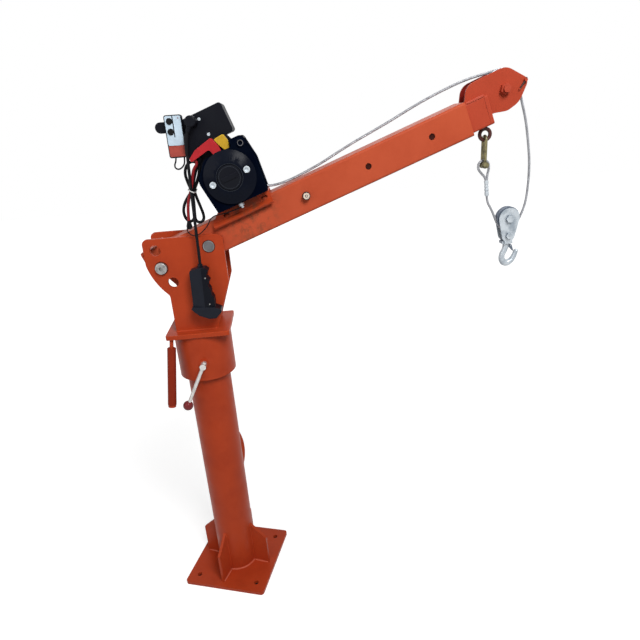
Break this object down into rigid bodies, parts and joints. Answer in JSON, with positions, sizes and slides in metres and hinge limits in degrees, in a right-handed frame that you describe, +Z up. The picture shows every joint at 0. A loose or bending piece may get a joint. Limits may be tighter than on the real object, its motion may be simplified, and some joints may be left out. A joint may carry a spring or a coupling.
{
  "type": "pickup truck crane",
  "caption": "Bolted column crane with a slewing head, a luffing telescopic boom, an electric rope winch and a hook block hung on a doubled rope.",
  "frame": {"origin": "centre of the foot's bolt circle, on the underside of the base plate", "axes": "+Z up the column, +X along the boom as it is turned in the rest pose, +Y to the motor's side"},
  "size_m": [1.0281, 0.3295, 1.3755],
  "materials": {
    "orange_paint": "satin",
    "bright_steel": "satin",
    "zinc_steel": "satin",
    "yellow_zinc": "satin",
    "bronze": "satin",
    "red_plastic": "gloss",
    "yellow_plastic": "gloss",
    "black_paint": "gloss",
    "black_plastic": "satin",
    "white_plastic": "satin",
    "wire_rope": "satin",
    "black_cable": "matte",
    "red_cable": "matte"
  },
  "bodies": {
    "base": {"base_plate": "orange_paint", "base_gussets": "orange_paint", "column_tube": "orange_paint", "column_lug": "orange_paint", "thrust_washer": "bright_steel"},
    "slew_head": {"slew_sleeve": "orange_paint", "slew_bushes": "bronze", "head_plate": "orange_paint", "near_cheek": "orange_paint", "far_cheek": "orange_paint", "pivot_pin": "bright_steel", "handle_rod": "orange_paint", "clamp_nut": "orange_paint"},
    "lock_pin": {"lock_pin": "bright_steel"},
    "clamp_lever": {"clamp_screw": "bright_steel", "clamp_knob": "red_plastic"},
    "turn_grip": {"turn_grip": "orange_paint"},
    "boom": {"boom_tube": "orange_paint", "pivot_bush": "bronze", "winch_saddle": "orange_paint", "extension_bolt": "bright_steel", "gearbox_housing": "black_paint", "gearbox_cover": "black_paint", "motor_bracket": "black_paint", "motor_casing": "black_paint", "motor_end_cap": "black_paint", "winch_fasteners": "bright_steel", "control_box": "black_plastic", "pendant_plug": "black_plastic", "red_boot": "red_plastic", "yellow_boot": "yellow_plastic", "black_lead": "black_cable", "red_lead": "red_cable", "lead_tie": "white_plastic", "lead_terminals": "black_cable", "signal_wire": "black_cable", "remote_holder": "black_plastic", "remote_body": "black_plastic", "remote_strap": "black_cable", "handset_body": "black_plastic", "handset_cable": "black_cable"},
    "clutch_dial": {"clutch_dial": "black_plastic"},
    "drum": {"winch_drum": "black_paint", "rope_winding": "wire_rope"},
    "button_in": {"button_in": "black_plastic"},
    "button_out": {"button_out": "black_plastic"},
    "rocker": {"handset_rocker": "black_plastic"},
    "extension": {"extension_tube": "orange_paint", "head_cheeks": "orange_paint", "head_pins": "orange_paint", "anchor_ring": "orange_paint", "shackle": "yellow_zinc", "rope_eye": "wire_rope", "rope_run": "wire_rope", "rope_falls": "wire_rope"},
    "head_sheave": {"head_sheave": "zinc_steel"},
    "hook_block": {"block_cheeks": "zinc_steel"},
    "block_sheave": {"block_sheave": "zinc_steel"},
    "hook": {"hook": "zinc_steel"},
    "latch": {"hook_latch": "zinc_steel"}
  },
  "joints": [
    {"name": "slew", "type": "hinge", "parent": "base", "child": "slew_head", "pos_m": [0, 0, 0.8], "axis": [0, 0, 1], "continuous": true},
    {"name": "luff", "type": "hinge", "parent": "slew_head", "child": "boom", "pos_m": [0.056, 0, 1.024], "axis": [0, -1, 0], "range_deg": [0, 20]},
    {"name": "lock_pin_pull", "type": "slide", "parent": "slew_head", "child": "lock_pin", "axis": [0, -1, 0], "range_m": [0, 0.12]},
    {"name": "clamp_turn", "type": "hinge", "parent": "slew_head", "child": "clamp_lever", "pos_m": [0.004, -0.09, 0.727], "axis": [0, -1, 0], "range_deg": [0, 120]},
    {"name": "handle_spin", "type": "hinge", "parent": "slew_head", "child": "turn_grip", "pos_m": [-0.068, -0.068, 0.8], "axis": [-0.131, -0.131, -0.9827], "continuous": true},
    {"name": "extension_slide", "type": "slide", "parent": "boom", "child": "extension", "axis": [0.9397, 0, 0.342], "range_m": [0, 0.326], "deforming": ["rope_run"]},
    {"name": "clutch_turn", "type": "hinge", "parent": "boom", "child": "clutch_dial", "pos_m": [0.13105, -0.092, 1.18327], "axis": [0, 1, 0], "range_deg": [0, 90]},
    {"name": "drum_spin", "type": "hinge", "parent": "boom", "child": "drum", "pos_m": [0.13105, 0, 1.18327], "axis": [0, 1, 0], "range_deg": [-2, 481.5]},
    {"name": "remote_in", "type": "slide", "parent": "boom", "child": "button_in", "axis": [0, 1, 0], "range_m": [0, 0.0015], "stiffness_N_per_m": 300},
    {"name": "remote_out", "type": "slide", "parent": "boom", "child": "button_out", "axis": [0, 1, 0], "range_m": [0, 0.0015], "stiffness_N_per_m": 300},
    {"name": "handset_rock", "type": "hinge", "parent": "boom", "child": "rocker", "pos_m": [0.024, -0.062, 0.94], "axis": [1, 0, 0], "range_deg": [-8, 8], "stiffness_Nm_per_rad": 0.3},
    {"name": "head_sheave_spin", "type": "hinge", "parent": "extension", "child": "head_sheave", "pos_m": [0.78587, 0, 1.32849], "axis": [0, 1, 0], "range_deg": [-392.2, 2]},
    {"name": "hook_hoist", "type": "slide", "parent": "extension", "child": "hook_block", "axis": [0, 0, 1], "range_m": [0, 0.15], "deforming": ["rope_falls"]},
    {"name": "block_sheave_spin", "type": "hinge", "parent": "hook_block", "child": "block_sheave", "pos_m": [0.821, 0, 1.022], "axis": [0, 1, 0], "range_deg": [-288, 2]},
    {"name": "hook_swivel", "type": "hinge", "parent": "hook_block", "child": "hook", "pos_m": [0.821, 0, 0.956], "axis": [0, 0, 1], "continuous": true},
    {"name": "latch_open", "type": "hinge", "parent": "hook", "child": "latch", "pos_m": [0.833, 0, 0.948], "axis": [0, 1, 0], "range_deg": [0, 40], "stiffness_Nm_per_rad": 0.02, "springref_deg": -17.19}
  ],
  "couplings": [
    {"joint": "drum_spin", "follows": "hook_hoist", "rad_per_m": 55.788},
    {"joint": "head_sheave_spin", "follows": "hook_hoist", "rad_per_m": -45.403},
    {"joint": "block_sheave_spin", "follows": "hook_hoist", "rad_per_m": -33.278}
  ]
}
